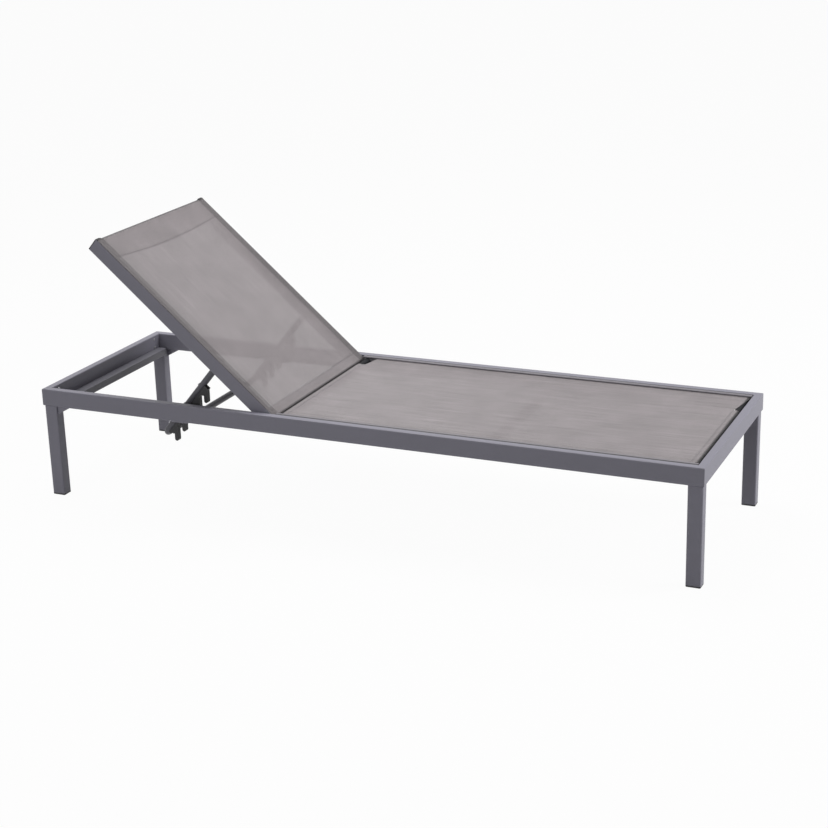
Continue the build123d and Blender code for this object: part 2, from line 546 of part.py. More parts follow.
def build_back():
    y_out, y_in = HALF_WIDTH - BACK_RAIL_OUT, HALF_WIDTH - BACK_RAIL_IN
    length = BACK_LENGTH - BACK_CAP - HINGE_BLOCK_LENGTH
    middle = (y_out + y_in) / 2
    section = sling_rail_section(BACK_RAIL_WIDTH, BACK_RAIL_DEPTH, BACK_RAIL_RADIUS, opens_up=True)
    rail = Pos(-BACK_LENGTH + BACK_CAP, middle, 0) * extrude(Plane.YZ * section, amount=length)
    pivot = Pos(-PROP_PIVOT_UP, 0, -PROP_PIVOT_DROP)
    rail -= pivot * rod(PIVOT_BOLT / 2 + FIT, (0, y_in - 1, 0), (0, y_in + SLING_RAIL_WALL + 1, 0))
    keep_pair("back_rail", rail, BACK)
    keep_pair("hinge_block", hinge_block(), BACK)
    keep_pair("hinge_bush", hinge_bush(), BACK)
    keep_pair("hinge_pin", hinge_pin())
    keep_pair("back_rail_cap", back_cap(), BACK)

    for name, x in (("back_bottom_bar", BOTTOM_BAR_PAST), ("back_top_bar", -TOP_BAR_AT)):
        keep(name, tube(BAR_RADIUS, BAR_WALL, (x, -y_in, BACK_BAR_UP), (x, y_in, BACK_BAR_UP)), BACK)

    tuck_y = middle + channel_place(BACK_RAIL_WIDTH)
    tuck_ends = (-BACK_LENGTH + BACK_CAP + FIT, -HINGE_BLOCK_LENGTH - FIT)
    fabric = sling((-TOP_BAR_AT, BOTTOM_BAR_PAST), y_in - BACK_SLEEVE_GAP,
                   (-BACK_LENGTH + BACK_CAP_ROUND, 0), tuck_y + SLING_THICKNESS / 2)
    fabric = Pos(0, 0, BACK_SLING_TOP) * fabric
    tuck = block(*tuck_ends, tuck_y - SLING_THICKNESS / 2, tuck_y + SLING_THICKNESS / 2,
                 BACK_TOP - SLING_EDGE_IN, BACK_SLING_TOP - SLING_THICKNESS)
    keep("back_sling", fabric + both_sides([tuck]), BACK)
    spline_z = BACK_TOP - CHANNEL_DROP - SPLINE_SHIFT
    keep_pair("back_spline", rod(SPLINE_DIAMETER / 2, (tuck_ends[0], tuck_y, spline_z),
                                 (tuck_ends[1], tuck_y, spline_z)), BACK)

    seat = HALF_WIDTH - PROP_SIDE - PROP_RADIUS - FIT
    bolt = rod(PIVOT_BOLT / 2, (0, seat, 0), (0, y_in + PIVOT_BOLT, 0))
    dome = rod(PIVOT_BOLT_HEAD / 2, (0, seat, 0), (0, seat - PIVOT_BOLT_HEAD_HEIGHT, 0))
    dome = fillet(dome.edges().sort_by(Axis.Y)[0], PIVOT_BOLT_HEAD_ROUND)
    keep_pair("prop_pivot_bolt", pivot * (bolt + dome), BACK)
    spacer = rod(PROP_SPACER_DIAMETER / 2, (0, y_in, 0), (0, y_in - PROP_SPACER + FIT, 0)) - rod(
        PIVOT_BOLT / 2 + RUNNING_FIT, (0, y_in + 1, 0), (0, y_in - PROP_SPACER - 1, 0))
    keep_pair("prop_spacer", pivot * spacer, BACK)


# ---- prop, drawn level with its pivot at the origin and the teeth below ---------------
def prop_path():
    side = HALF_WIDTH - PROP_SIDE
    return FilletPolyline((PROP_END, side, 0), (-PROP_LENGTH, side, 0), (-PROP_LENGTH, -side, 0),
                          (PROP_END, -side, 0), radius=PROP_BEND)


def prop_rod(radius):
    """Solid round bar along the U."""
    start = Plane(origin=(PROP_END, HALF_WIDTH - PROP_SIDE, 0), z_dir=(-1, 0, 0))
    return sweep(start * Circle(radius), path=prop_path())


def slot_place(index):
    """Middle of a slot's round end, in the drawn pose, from the prop pivot."""
    step = index - CATCH_SLOT
    return (CATCH_X - PIVOT_X - step * SLOT_STEP, CATCH_Z - PIVOT_Z - step * RACK_PITCH * sin(SWING))


def along_arm(place):
    return -place[0] * cos(SWING) - place[1] * sin(SWING)


RACK_START = along_arm(slot_place(0))              # first slot, along the arm
RACK_END = along_arm(slot_place(RACK_TEETH - 1))
RACK_OUT = slot_place(0)[0] * sin(SWING) - slot_place(0)[1] * cos(SWING)


def rack():
    """Notched rack: a spine that hugs the arm and teeth that point straight down as drawn."""
    teeth, slots = Sketch(), Sketch()
    long = 2 * RACK_PITCH
    for index in range(RACK_TEETH):
        x, z = slot_place(index)
        tooth_x = x + (SLOT_WIDTH + TOOTH_WIDTH) / 2
        tip_z = z - TOOTH_DROP + TOOTH_WIDTH / 2
        teeth += Pos(tooth_x, tip_z) * Circle(TOOTH_WIDTH / 2)
        teeth += Pos(tooth_x, tip_z + long / 2) * Rectangle(TOOTH_WIDTH, long)
        slots += Pos(x, z) * Circle(SLOT_WIDTH / 2)
        slots += Pos(x, z - long / 2) * Rectangle(SLOT_WIDTH, long)
    # Turned from the drawn pose to the level prop, where along is -X and out is -Z.
    teeth = Rot(0, 0, -PROP_ANGLE) * teeth
    slots = Rot(0, 0, -PROP_ANGLE) * slots
    top = RACK_LEAD - RACK_START
    spine = Polygon((top, -RACK_SADDLE), (-RACK_END, -RACK_SADDLE), (-RACK_END, -RACK_OUT),
                    (top, -RACK_OUT), align=None)
    reach = 2 * PROP_LENGTH
    below = Pos(top - reach / 2, -RACK_SADDLE - reach / 2) * Rectangle(reach, reach)
    outline = (spine + (teeth & below)) - slots
    shape = extrude(Plane.XZ * outline, amount=RACK_THICKNESS / 2, both=True)
    shape = Pos(0, HALF_WIDTH - RACK_SIDE, 0) * shape
    return shape - prop_rod(PROP_RADIUS + FIT / 2)


def rack_screw_places():
    """Distances from the pivot: half a pitch before the first slot, then every second pitch."""
    return [RACK_START + (2 * i - 0.5) * RACK_PITCH for i in range(RACK_SCREWS)]


def build_prop():
    side = HALF_WIDTH - PROP_SIDE
    frame = prop_rod(PROP_RADIUS) - prop_rod(PROP_RADIUS - PROP_WALL)
    toothed = rack()
    screws = []
    for at in rack_screw_places():
        hole = rod(SCREW / 2 + FIT, (-at, side, PROP_RADIUS + 1),
                   (-at, side, -PROP_RADIUS - SCREW_LENGTH / 2 - 1))
        toothed -= hole
        frame -= hole
        frame -= mirror(hole, about=Plane.XZ)
        screws.append(button_screw((-at, side, PROP_RADIUS), (0, 0, 1), PROP_DIAMETER + SCREW_LENGTH / 2))
    for y in (side, -side):
        frame -= rod(PIVOT_BOLT / 2 + RUNNING_FIT, (0, y - PROP_DIAMETER, 0), (0, y + PROP_DIAMETER, 0))
    keep("prop_frame", frame, PROP)
    keep_pair("rack", toothed, PROP)
    keep("rack_screws", group(both_sides(screws)), PROP)
    cap = rod(PROP_RADIUS, (PROP_END, side, 0), (PROP_END + PROP_CAP, side, 0))
    cap = fillet(cap.edges().sort_by(Axis.X)[-1], PROP_CAP_ROUND)
    cap += rod(PROP_RADIUS - PROP_WALL - FIT, (PROP_END, side, 0), (PROP_END - PROP_CAP_PLUG, side, 0))
    keep("prop_end_caps", group(both_sides([cap])), PROP)


# ---- catch that the rack stands on ----------------------------------------------------
def catch_screw_xs():
    return (CATCH_X - CATCH_SCREWS / 2, CATCH_X + CATCH_SCREWS / 2)


def catch_screw_holes():
    y = HALF_WIDTH - RAIL_WIDTH / 2
    return Part() + [rod(SCREW / 2 + FIT, (x, y, RAIL_BOTTOM - 1), (x, y, RAIL_BOTTOM + RAIL_WALL + 1))
                     for x in catch_screw_xs()]


def build_catch():
    """Angle bracket under each side rail with a pin that points inwards."""
    y_face = HALF_WIDTH - RAIL_WIDTH
    y_web = y_face - CATCH_PLATE
    top = CATCH_Z + CATCH_PIN / 2
    outline = Circle(CATCH_WEB / 2) & Pos(0, top - CATCH_Z - CATCH_WEB / 2) * Rectangle(CATCH_WEB, CATCH_WEB)
    web = Pos(CATCH_X, y_face, CATCH_Z) * extrude(Plane.XZ * outline, amount=CATCH_PLATE)
    flange = block(CATCH_X - CATCH_FLANGE / 2, CATCH_X + CATCH_FLANGE / 2, y_web,
                   HALF_WIDTH - RAIL_RADIUS, RAIL_BOTTOM - CATCH_PLATE, RAIL_BOTTOM)
    flange = fillet(flange.edges().filter_by(Axis.Z), RAIL_RADIUS)
    bracket = flange + web - rod(CATCH_RIVET / 2 + RUNNING_FIT, (CATCH_X, y_web - 1, CATCH_Z),
                                 (CATCH_X, y_face + 1, CATCH_Z))
    y_screw = HALF_WIDTH - RAIL_WIDTH / 2
    screws = []
    for x in catch_screw_xs():
        bracket -= rod(SCREW / 2 + FIT, (x, y_screw, RAIL_BOTTOM - CATCH_PLATE - 1),
                       (x, y_screw, RAIL_BOTTOM + 1))
        screws.append(button_screw((x, y_screw, RAIL_BOTTOM - CATCH_PLATE), (0, 0, -1)))
    y_end = HALF_WIDTH - PROP_NEAR + CATCH_GAP
    pin = rod(CATCH_PIN / 2, (CATCH_X, y_web, CATCH_Z), (CATCH_X, y_end, CATCH_Z))
    pin = chamfer(pin.edges().sort_by(Axis.Y)[0], CATCH_PIN_EDGE)
    pin += rod(CATCH_RIVET / 2, (CATCH_X, y_web, CATCH_Z), (CATCH_X, y_face - FIT, CATCH_Z))
    keep_pair("catch_bracket", bracket)
    keep_pair("catch_pin", pin)
    keep("catch_screws", group(both_sides(screws)))


build_frame()
build_rest_bar()
build_seat()
build_back()
build_prop()
build_catch()

os.makedirs("parts", exist_ok=True)
for name, shape in parts.items():
    export_step(shape, f"parts/{name}.step")
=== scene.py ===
"""Dresses the reclining sun lounger: coated tubes, woven slings with hems and stitches, and a studio."""

import json
from math import pi, radians

import bpy
import numpy as np
from mathutils import Matrix, Vector


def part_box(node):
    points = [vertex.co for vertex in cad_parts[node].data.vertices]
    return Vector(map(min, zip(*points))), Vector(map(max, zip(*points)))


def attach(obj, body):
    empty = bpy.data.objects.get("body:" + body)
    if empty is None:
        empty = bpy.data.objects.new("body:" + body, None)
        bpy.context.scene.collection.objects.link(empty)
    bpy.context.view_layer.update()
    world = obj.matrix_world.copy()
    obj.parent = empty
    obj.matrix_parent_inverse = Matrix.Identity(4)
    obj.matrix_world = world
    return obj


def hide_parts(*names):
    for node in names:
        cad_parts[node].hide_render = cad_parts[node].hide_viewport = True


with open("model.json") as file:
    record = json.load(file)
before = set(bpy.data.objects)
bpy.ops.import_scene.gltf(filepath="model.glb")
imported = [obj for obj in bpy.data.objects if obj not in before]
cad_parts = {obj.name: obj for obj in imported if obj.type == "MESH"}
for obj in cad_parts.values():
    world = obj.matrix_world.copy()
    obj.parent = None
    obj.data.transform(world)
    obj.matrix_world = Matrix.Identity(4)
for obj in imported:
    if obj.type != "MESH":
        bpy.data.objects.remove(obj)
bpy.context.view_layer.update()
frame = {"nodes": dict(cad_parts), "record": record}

bl_info = {
    "name": "Sun lounger dresser",
    "version": (1, 0, 0),
    "blender": (4, 5, 0),
    "location": "View3D > Sidebar > Lounger",
    "description": "Adds slings, stitches, finishes and a studio to the packed lounger",
    "category": "Object",
}

# CAD nodes with a finish of their own
# Sleeve bars get a near black coat as painted shadow in the notches and round the bars
SLEEVE_BARS = ("seat_hinge_bar", "seat_foot_bar", "back_bottom_bar", "back_top_bar")
# The prop and the rest bar get a darker coat as painted shade, standing for the backrest's shadow
SHADED_TUBES = ("prop_frame", "rest_bar")
# The seat rails get a darker coat as painted shade
SEAT_RAILS = ("seat_rail_left", "seat_rail_right")
HINGE_ENDS = ("hinge_block_left", "hinge_block_right")
RAIL_JOINT_SHADOW = 0.005      # width of the painted joint shadow, a nearly black line along the outer edge of a seat rail

# Rows and columns of the slings, and lengths in metres
LINE_ROWS = 9           # of a sleeve, from its seam straight to the bar
WRAP_ROWS = 17          # from there round the bar to its outermost side
ARC_ROWS = 11           # from there up to the top of the bar
FLAT_ROWS = 161         # between the close rows of the two seams
CLOSE_STEP = 0.0015     # from one close row to the next
CLOSE_REACH = 0.012     # how far past a seam the close rows go
SLEEVE_COLUMNS = 81
CHANNEL_COLUMNS = 13    # of a flap that runs into a channel
RAIL_COLUMNS = 6        # of a flap over its rail, whose turned edge adds one less
BAR_GAP = 0.0004        # between a bar and its sleeve
SEAM_DEPTH = 1.6        # of a sleeve's seam below the face of the cloth, in thicknesses
GROOVE_FADE = 0.02      # over which a groove fades out beside the rails
WELD_DIGITS = 7         # decimals to which two points are the same one

# Tones of the slings, in metres
BAND_BLUR = 0.002       # over which the tone of a band sets in
SHADE_FADE_WIDTH = 0.05       # over which painted shade fades in towards a band
TURNED_SHADE_WIDTH = 0.006      # over which painted shade darkens the cloth past the top of a bar

# Stitches, with lengths in metres
STITCH_RINGS = 5
RING_POINTS = 6         # which two quads fill at each tip
ROW_OFFSET = 0.0016     # from a seam to its rows of stitches, on either side
ROW_END = 0.004         # from the end of a sleeve to the middle of its first stitch
THREAD_RADIUS = 0.00042
THREAD_FLATNESS = 0.8   # thickness of a stitch as a share of its width
THREAD_LIFT = 0.00008   # of a stitch's middle line above the cloth
BLUNTNESS = 1.08        # square of the ellipse's length over the stitch's

# Studio, in metres
FLOOR_RADIUS = 50.0
FLOOR_SIDES = 64
FLOOR_LEVEL = -0.0004   # just below the feet
FLOOR_COLOUR = 0.5      # grey that lights the lounger from below
FLOOR_GLOW = 0.965      # share of plain white in the floor as it is seen
CLIP_END = 120.0
SENSOR_WIDTH = 36.0     # in millimetres
LAMP_TARGET = (0.0, 0.0, 0.3)
LAMPS = (               # name, place, diameter, and the setting with its power
    ("lamp_key", (4.2, 1.2, 2.6), 2.6, "key_power"),
    ("lamp_front", (-1.2, -4.2, 1.5), 2.4, "front_power"),
    ("lamp_top", (-1.2, 0.7, 3.8), 2.6, "top_power"),
)


# ---- settings -------------------------------------------------------------------------
def colour_property(name, description, default):
    """Setting that holds a colour."""
    return bpy.props.FloatVectorProperty(name=name, description=description, default=default,
                                         subtype="COLOR", size=3, min=0.0, max=1.0)


def length_property(name, description, default):
    """Setting that holds a length."""
    return bpy.props.FloatProperty(name=name, description=description, default=default,
                                   subtype="DISTANCE", unit="LENGTH", min=0.0)


def place_property(name, description, default):
    """Setting that holds a coordinate, which may be below zero."""
    return bpy.props.FloatProperty(name=name, description=description, default=default,
                                   subtype="DISTANCE", unit="LENGTH")


def angle_property(name, description, default):
    """Setting that holds an angle, with its default given in degrees."""
    return bpy.props.FloatProperty(name=name, description=description, default=radians(default),
                                   subtype="ANGLE", unit="ROTATION")


def power_property(name, description, default):
    """Setting that holds the power of a lamp in watts."""
    return bpy.props.FloatProperty(name=name, description=description, default=default, unit="POWER")


class LoungerFinish(bpy.types.PropertyGroup):
    """Colours of the finishes."""
    coat: colour_property("Coat", "Powder coat of the tubes", (0.165, 0.160, 0.195))
    # Painted shade: darker coat of the seat rails
    rail_coat: colour_property("Rail coat", "Powder coat of the seat rails", (0.150, 0.140, 0.155))
    # Painted shade: darker coat of the prop and the rest bar
    prop_coat: colour_property("Prop coat", "Coat of the prop and the rest bar", (0.080, 0.078, 0.092))
    # Painted shadow: near black coat of the sleeve bars, which darkens the notches and the cloth round the
    # bars
    bar_coat: colour_property("Bar coat", "Coat of the bars in the sleeves", (0.015, 0.015, 0.017))
    cloth: colour_property("Cloth", "Lengthwise yarns of the slings", (0.278, 0.253, 0.260))
    cloth_weft: colour_property("Cross yarn", "Cross yarns of the slings", (0.189, 0.170, 0.176))
    thread: colour_property("Thread", "Stitches of the hems", (0.085, 0.080, 0.085))
    plastic: colour_property("Plastic", "Feet, caps, bushes, spacers and racks", (0.013, 0.013, 0.015))
    hinge_plastic: colour_property("Hinge ends", "Hinge ends of the backrest rails", (0.20, 0.20, 0.23))
    spline: colour_property("Spline", "Cords that hold the slings in their rails", (0.05, 0.05, 0.05))
    steel: colour_property("Steel", "Screws, bolts and pins", (0.42, 0.42, 0.44))
    aluminium: colour_property("Aluminium", "Corner keys", (0.60, 0.60, 0.62))


class LoungerCloth(bpy.types.PropertyGroup):
    """Sizes of the two slings."""
    thickness: length_property("Thickness", "Thickness of the coated mesh", 0.0008)
    seat_sag: length_property("Seat sag", "Dip in the middle of the seat", 0.004)
    back_sag: length_property("Back sag", "Dip in the middle of the backrest", 0.006)
    groove: length_property("Groove", "Depth of the groove at a seam", 0.0007)
    groove_width: length_property("Groove width", "Half width of that groove", 0.0035)
    edge: length_property("Edge", "How far the cloth goes into the channels of the seat", 0.003)
    seat_notch: length_property("Seat notch", "Sleeves of the seat short of the right rail", 0.012)
    hinge_notch: length_property("Hinge notch", "Sleeve at the hinge short of the left rail", 0.058)
    foot_notch: length_property("Foot notch", "Sleeve at the foot short of the left rail", 0.118)
    back_notch: length_property("Back notch", "Sleeves short of the backrest rails", 0.0015)
    seat_hem: length_property("Seat hem", "Sleeves of the seat, from bar to seam", 0.010)
    back_hem: length_property("Back hem", "Sleeve at the bottom of the backrest", 0.024)
    top_hem: length_property("Top hem", "Sleeve at the top of the backrest", 0.066)
    top_bow: length_property("Top bow", "Bow of the seam of the top hem", 0.012)
    stitch: length_property("Stitch", "Length of one stitch", 0.0030)
    stitch_pitch: length_property("Stitch pitch", "From one stitch to the next", 0.0042)
    yarn: length_property("Yarn pitch", "From one yarn to the next", 0.0012)


class LoungerStudio(bpy.types.PropertyGroup):
    """Camera and lamps."""
    camera_x: place_property("Camera X", "Camera, towards the foot end", 1.982)
    camera_y: place_property("Camera Y", "Camera, towards the left side", -4.306)
    camera_z: place_property("Camera Z", "Camera, above the floor", 1.869)
    turn: angle_property("Turn", "Camera heading, from +Y towards -X", 24.09)
    tilt: angle_property("Tilt", "Camera below the horizon", 18.81)
    roll: angle_property("Roll", "Camera about its own axis", -1.6)
    lens: bpy.props.FloatProperty(name="Lens", description="Focal length", default=76.8, unit="CAMERA")
    sky: bpy.props.FloatProperty(name="Sky", description="Strength of the light all round", default=0.11)
    front_power: power_property("Front", "Power of the lamp past the right side", 46.0)
    key_power: power_property("Key", "Power of the lamp past the foot end", 198.0)
    top_power: power_property("Top", "Power of the lamp overhead", 135.0)


# ---- shader helpers -------------------------------------------------------------------
class Nodes:
    """Adds and joins the nodes of one material or world."""

    def __init__(self, tree):
        self.tree = tree
        tree.nodes.clear()

    def add(self, kind, **settings):
        """Node of a kind. A setting names an attribute, or a socket given as in_Name."""
        node = self.tree.nodes.new("ShaderNode" + kind)
        for key, value in settings.items():
            if key.startswith("in_"):
                self.feed(node.inputs[key[3:].replace("_", " ")], value)
            else:
                setattr(node, key, value)
        return node

    def feed(self, socket, value):
        """Links another node's socket to this one, or sets this one to a constant."""
        if isinstance(value, bpy.types.NodeSocket):
            self.tree.links.new(value, socket)
        else:
            socket.default_value = value

    def math(self, operation, *values):
        """Number worked out from one, two or three others."""
        node = self.add("Math", operation=operation)
        for socket, value in zip(node.inputs, values):
            self.feed(socket, value)
        return node.outputs[0]

    def product(self, first, *others):
        """All of the numbers multiplied, in their order."""
        for other in others:
            first = self.math("MULTIPLY", first, other)
        return first

    def fit(self, value, target, source=(0.0, 1.0)):
        """Number carried from the source range to the target range, and held at its ends."""
        return self.add("MapRange", in_Value=value, in_From_Min=source[0], in_From_Max=source[1],
                        in_To_Min=target[0], in_To_Max=target[1]).outputs[0]

    def mix(self, factor, first, second):
        """Colour between two others."""
        node = self.add("Mix", data_type="RGBA")
        for socket, value in zip((node.inputs[0], node.inputs[6], node.inputs[7]), (factor, first, second)):
            self.feed(socket, value)
        return node.outputs[2]

    def stretch(self, place, scale):
        """Coordinates scaled along each axis."""
        return self.add("Mapping", in_Vector=place, in_Scale=scale).outputs[0]

    def noise(self, place, scale, detail):
        """Cloudy noise from 0 to 1."""
        return self.add("TexNoise", in_Vector=place, in_Scale=scale, in_Detail=detail).outputs["Fac"]

    def bump(self, height, distance, strength):
        """Normal of a surface with fine relief."""
        return self.add("Bump", in_Height=height, in_Distance=distance, in_Strength=strength).outputs[0]

    def blend(self, share, first, second):
        """Shader between two others."""
        node = self.add("MixShader", in_Fac=share)
        self.tree.links.new(first.outputs[0], node.inputs[1])
        self.tree.links.new(second.outputs[0], node.inputs[2])
        return node


def shade(colour, factor):
    """Colour times a factor, with full alpha."""
    return tuple(min(1.0, c * factor) for c in colour) + (1.0,)


def new_material(name):
    material = bpy.data.materials.new(f"lounger_{name}")
    material.use_nodes = True
    return Nodes(material.node_tree)


def powder_coat(name, colour, gloss, joint=None):
    """Satin coat with a fine grain and a slightly uneven tone.

    With joint, the coat is nearly black where it lies further out than that on either side: a painted
    shadow that stands for the joint.
    """
    nodes = new_material(name)
    place = nodes.add("TexCoord").outputs["Object"]
    tone = nodes.noise(place, scale=5.0, detail=3.0)
    fleck = nodes.noise(place, scale=1400.0, detail=1.0)
    grain = nodes.noise(place, scale=900.0, detail=2.0)
    mottle = nodes.mix(tone, shade(colour, 0.93), shade(colour, 1.07))
    base = nodes.mix(nodes.product(fleck, 0.18), mottle, shade(colour, 1.5))
    # Painted shadow: nearly black beyond joint
    if joint is not None:
        across = nodes.math("ABSOLUTE", nodes.add("SeparateXYZ", in_Vector=place).outputs[1])
        base = nodes.mix(nodes.math("GREATER_THAN", across, joint), base, shade(colour, 0.08))
    surface = nodes.add("BsdfPrincipled", in_Base_Color=base, in_Roughness=nodes.fit(tone, (0.42, 0.52)),
                        in_Specular_IOR_Level=gloss,
                        in_Normal=nodes.bump(grain, distance=0.00012, strength=0.5))
    nodes.add("OutputMaterial", in_Surface=surface.outputs[0])


def moulded_plastic(name, colour):
    """Matt plastic with a leathery mould grain and paler scuffs, which run upwards."""
    nodes = new_material(name)
    place = nodes.add("TexCoord").outputs["Object"]
    grain = nodes.add("TexVoronoi", in_Vector=place, in_Scale=700.0).outputs["Distance"]
    wear = nodes.noise(nodes.stretch(place, (60.0, 60.0, 9.0)), scale=3.0, detail=5.0)
    scuff = nodes.product(nodes.math("GREATER_THAN", wear, 0.66), 0.35)
    base = nodes.mix(scuff, shade(colour, 1.0), shade(colour, 3.0))
    surface = nodes.add("BsdfPrincipled", in_Base_Color=base, in_Roughness=nodes.fit(grain, (0.5, 0.68)),
                        in_Normal=nodes.bump(grain, distance=0.0002, strength=0.35))
    nodes.add("OutputMaterial", in_Surface=surface.outputs[0])


def drawn_metal(name, colour, rough_low, rough_high):
    """Bare metal with fine drawn lines across the lounger."""
    nodes = new_material(name)
    place = nodes.add("TexCoord").outputs["Object"]
    lines = nodes.noise(nodes.stretch(place, (900.0, 12.0, 900.0)), scale=1.0, detail=3.0)
    base = nodes.mix(lines, shade(colour, 0.82), shade(colour, 1.15))
    surface = nodes.add("BsdfPrincipled", in_Base_Color=base, in_Metallic=1.0,
                        in_Roughness=nodes.fit(lines, (rough_low, rough_high)),
                        in_Normal=nodes.bump(lines, distance=0.00005, strength=0.4))
    nodes.add("OutputMaterial", in_Surface=surface.outputs[0])


def woven_mesh(colours, cloth, sling):
    """Coated yarns in plain weave with pinholes, read from the sling's own UV map in metres.

    Two sines with half a wave to a yarn give a chequer of warp and weft by their product, and a
    pinhole where both are near zero. Long thin noise along the sling gives the lengthwise streaks,
    and wide noise the clouds. Painted shade makes the cloth fade to shade_fade_tone towards its
    bands, and darken to turned_shade_tone where it turns down round its bars. The bands are darker
    by edge_tone: on the backrest this is painted shade over the rails, on the seat a darker band
    beside them.
    """
    nodes = new_material(f"{sling.name}_mesh")
    place = nodes.add("UVMap", uv_map="cloth").outputs[0]
    across, along = nodes.add("SeparateXYZ", in_Vector=place).outputs[:2]
    wave_x = nodes.math("SINE", nodes.product(across, pi / cloth.yarn))
    wave_y = nodes.math("SINE", nodes.product(along, pi / cloth.yarn))
    over = nodes.math("MULTIPLY_ADD", nodes.product(wave_x, wave_y), 0.5, 0.5)
    woven = nodes.mix(over, shade(colours.cloth_weft, 1.0), shade(colours.cloth, 1.0))
    ridge = nodes.math("MAXIMUM", nodes.math("ABSOLUTE", wave_x), nodes.math("ABSOLUTE", wave_y))

    fine = nodes.noise(nodes.stretch(place, (420.0, 6.0, 1.0)), scale=1.0, detail=2.0)
    broad = nodes.noise(nodes.stretch(place, (120.0, 4.0, 1.0)), scale=1.0, detail=3.0)
    streak = nodes.math("MULTIPLY_ADD", nodes.math("ADD", fine, broad), sling.streaks, 1 - sling.streaks)
    cloud = nodes.fit(nodes.noise(place, scale=9.0, detail=3.0), (0.92, 1.08), (0.3, 0.7))

    # Painted shade: the bands (over the rails on the backrest), the fade towards them, and the cloth turned
    # down round the bars
    out = nodes.math("ABSOLUTE", across)
    band = nodes.fit(out, (1.0, sling.edge_tone), (sling.band - BAND_BLUR, sling.band))
    fade = nodes.fit(out, (1.0, sling.shade_fade_tone), (sling.band - SHADE_FADE_WIDTH, sling.band))
    before = nodes.product(along, -1.0)
    after = nodes.math("SUBTRACT", along, sling.length)
    turned = nodes.fit(nodes.math("MAXIMUM", before, after), (1.0, sling.turned_shade_tone), (0.0, TURNED_SHADE_WIDTH))
    tone = nodes.product(streak, cloud, nodes.product(band, fade, turned))
    base = nodes.add("VectorMath", operation="SCALE", in_Vector=woven, in_Scale=tone)

    surface = nodes.add("BsdfPrincipled", in_Base_Color=base.outputs[0], in_Roughness=0.55,
                        in_Specular_IOR_Level=0.35,
                        in_Normal=nodes.bump(ridge, distance=0.00025, strength=0.6))
    hole = nodes.fit(ridge, (sling.openness, 0.02), (0.42, 0.90))
    holed = nodes.blend(hole, surface, nodes.add("BsdfTransparent"))
    nodes.add("OutputMaterial", in_Surface=holed.outputs[0])


def sewing_thread(colour):
    """Thread with fine uneven strands across it."""
    nodes = new_material("thread")
    place = nodes.add("TexCoord").outputs["Object"]
    twist = nodes.noise(nodes.stretch(place, (1500.0, 2600.0, 1500.0)), scale=1.0, detail=1.0)
    base = nodes.mix(twist, shade(colour, 0.6), shade(colour, 1.5))
    surface = nodes.add("BsdfPrincipled", in_Base_Color=base, in_Roughness=0.7,
                        in_Normal=nodes.bump(twist, distance=0.0001, strength=0.5))
    nodes.add("OutputMaterial", in_Surface=surface.outputs[0])


def finish(name):
    """Material made earlier under a finish's name."""
    return bpy.data.materials[f"lounger_{name}"]


def paint(slot, name=None, only=None):
    """Gives every CAD node of a slot, or only the named ones, the finish of that name."""
    for part in frame["record"]["subparts"]:
        if part["material_slot"] == slot and (only is None or part["node"] in only):
            node = frame["nodes"][part["node"]]
            node.data.materials.clear()
            node.data.materials.append(finish(name or slot))


# ---- mesh helpers ---------------------------------------------------------------------
def grid_faces(rows, columns):
    """Quads of a grid whose points are numbered row by row."""
    corner = (np.arange(rows - 1)[:, None] * columns + np.arange(columns - 1)[None, :]).ravel()
    return np.stack([corner, corner + 1, corner + columns + 1, corner + columns], axis=1)


def side_by_side(right, middle, left):
    """Grid of three, where the right one's columns are numbered outwards and so are turned round."""
    return np.concatenate([right[:, ::-1], middle, left], axis=1)


def new_mesh(name, points, faces, material, smooth=True):
    """Mesh object at the origin from arrays of points and of quads or triangles."""
    mesh = bpy.data.meshes.new(name)
    mesh.from_pydata(points.tolist(), [], faces.tolist())
    mesh.polygons.foreach_set("use_smooth", np.full(len(mesh.polygons), smooth))
    mesh.materials.append(material)
    mesh.update()
    piece = bpy.data.objects.new(name, mesh)
    bpy.context.scene.collection.objects.link(piece)
    return piece


def weld(points, faces, values):
    """Joins points at the same place, and drops faces left with two corners at one point."""
    used = np.unique(faces)
    keys = np.round(points[used], WELD_DIGITS)
    first, inverse = np.unique(keys, axis=0, return_index=True, return_inverse=True)[1:]
    number = np.zeros(len(points), int)
    number[used] = inverse.ravel()
    faces = number[faces]
    ordered = np.sort(faces, axis=1)
    faces = faces[(np.diff(ordered, axis=1) > 0).all(axis=1)]
    chosen = used[first]
    return points[chosen], faces, values[chosen]


def set_uv(piece, name, values):
    """UV map from one pair of values for each point."""
    mesh = piece.data
    layer = mesh.uv_layers.new(name=name)
    corners = np.zeros(len(mesh.loops), int)
    mesh.loops.foreach_get("vertex_index", corners)
    layer.data.foreach_set("uv", values[corners].ravel())


def middle(node):
    """Middle of a CAD node's box."""
    low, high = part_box(node)
    return (low + high) / 2


